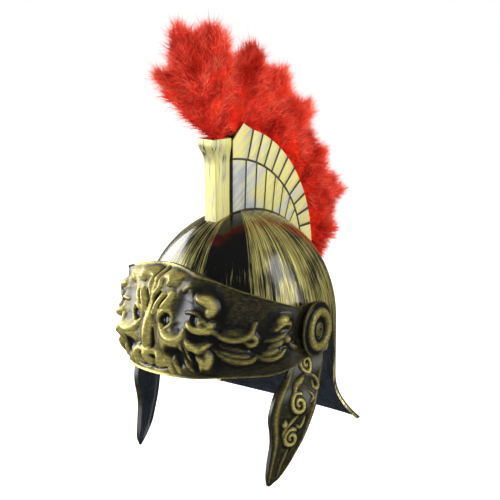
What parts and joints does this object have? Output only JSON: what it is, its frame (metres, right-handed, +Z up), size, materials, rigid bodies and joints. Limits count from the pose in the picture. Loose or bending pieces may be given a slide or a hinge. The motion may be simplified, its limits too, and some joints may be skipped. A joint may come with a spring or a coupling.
{
  "type": "costume roman legionary helmet",
  "caption": "Domed helmet with a raised lion mask visor, hung cheek guards, flared neck guard and a feather plume on a fan crest.",
  "frame": {"origin": "inside top of the bowl, where the helmet rests on the head", "axes": "+Z up, -Y towards the face, +X to the wearer's left"},
  "size_m": [0.2448, 0.2802, 0.4742],
  "materials": {
    "brushed_gold_shell": "black glossy plastic with brushed antique gold streaks",
    "pale_gold_crest": "pale gold paint brushed with grey and dark streaks",
    "red_feather": "soft fluffy feather"
  },
  "bodies": {
    "shell": {"bowl": "brushed_gold_shell", "crest_post": "pale_gold_crest", "crest_fan": "pale_gold_crest", "plume": "red_feather", "rivet_left": "brushed_gold_shell", "rivet_right": "brushed_gold_shell"},
    "visor_part": {"visor": "brushed_gold_shell", "rosette_left": "brushed_gold_shell", "rosette_right": "brushed_gold_shell"},
    "cheek_part_left": {"cheek_guard_left": "brushed_gold_shell"},
    "cheek_part_right": {"cheek_guard_right": "brushed_gold_shell"}
  },
  "joints": [
    {"name": "visor_pivot", "type": "hinge", "parent": "shell", "child": "visor_part", "pos_m": [0, 0.008, -0.1128], "axis": [-1, 0, 0], "range_deg": [0, 31]},
    {"name": "cheek_left_pivot", "type": "hinge", "parent": "shell", "child": "cheek_part_left", "pos_m": [0, 0.008, -0.1128], "axis": [-1, 0, 0], "range_deg": [-15, 8]},
    {"name": "cheek_right_pivot", "type": "hinge", "parent": "shell", "child": "cheek_part_right", "pos_m": [0, 0.008, -0.1128], "axis": [-1, 0, 0], "range_deg": [-15, 8]}
  ]
}
